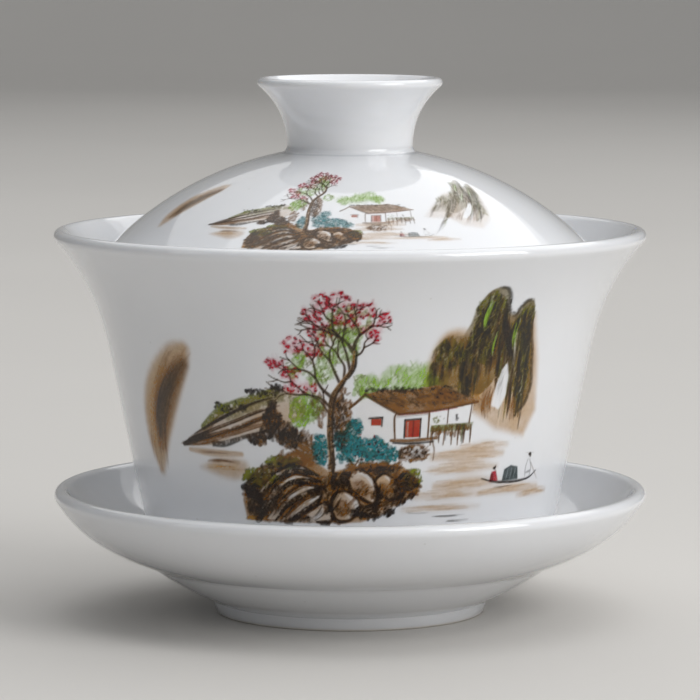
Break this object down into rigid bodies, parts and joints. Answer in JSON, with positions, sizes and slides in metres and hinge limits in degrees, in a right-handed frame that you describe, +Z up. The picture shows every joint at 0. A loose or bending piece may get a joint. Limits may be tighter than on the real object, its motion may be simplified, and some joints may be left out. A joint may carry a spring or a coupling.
{
  "type": "gaiwan",
  "caption": "Porcelain tea bowl with a flared mouth, on a footed saucer, with a domed lid that drops inside the rim and has a hollow ring knob.",
  "frame": {"origin": "centre of the saucer's foot ring, on the surface the saucer stands on", "axes": "+Z up along the common turning axis of the three pieces, -Y towards the decorated front, +X to the right seen from the front"},
  "size_m": [0.1048, 0.1048, 0.0945],
  "materials": {
    "saucer_glaze": "high gloss clear glaze on white porcelain",
    "bowl_glaze": "high gloss clear glaze on white porcelain, with a painted landscape on the front",
    "lid_glaze": "high gloss clear glaze on white porcelain, with a small painted landscape on the front"
  },
  "bodies": {
    "saucer": {"saucer": "saucer_glaze"},
    "bowl": {"bowl": "bowl_glaze"},
    "lid": {"lid": "lid_glaze"}
  },
  "joints": [
    {"name": "bowl_lift", "type": "slide", "parent": "saucer", "child": "bowl", "axis": [0, 0, 1], "range_m": [0, 0.04]},
    {"name": "lid_lift", "type": "slide", "parent": "bowl", "child": "lid", "axis": [0, 0, 1], "range_m": [0, 0.05]}
  ]
}
